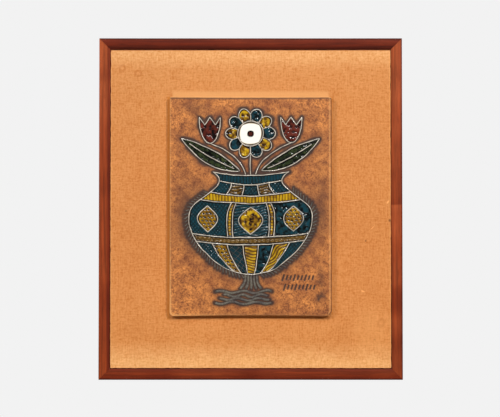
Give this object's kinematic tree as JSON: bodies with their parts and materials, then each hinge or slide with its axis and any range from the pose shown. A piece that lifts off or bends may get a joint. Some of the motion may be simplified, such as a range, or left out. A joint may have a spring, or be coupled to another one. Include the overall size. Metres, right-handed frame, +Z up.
{
  "type": "ceramic wall plaque",
  "caption": "Framed stoneware wall plaque: a glazed relief tile of a pot of flowers on a linen-covered board in a narrow mitred wooden frame, with a toothed hanger.",
  "frame": {"origin": "middle of the hanger plate's wall-side face, behind the top rail", "axes": "+Y into the wall, +Z up, +X to the right as seen from the front"},
  "size_m": [0.406, 0.034, 0.457],
  "materials": {
    "wood": "oiled reddish-brown hardwood, satin",
    "board": "raw chipboard",
    "linen": "coarse orange-tan plain weave",
    "stoneware": "unglazed iron-stained clay, matt",
    "glaze": "glossy coloured glaze",
    "steel": "dull plated steel"
  },
  "bodies": {
    "root": {"frame_rail_top": "wood", "frame_rail_bottom": "wood", "frame_rail_left": "wood", "frame_rail_right": "wood", "backing_board": "board", "linen_cover": "linen", "ceramic_tile": "stoneware", "hanger_plate": "steel", "hanger_pin_left": "steel", "hanger_pin_right": "steel"}
  },
  "joints": []
}
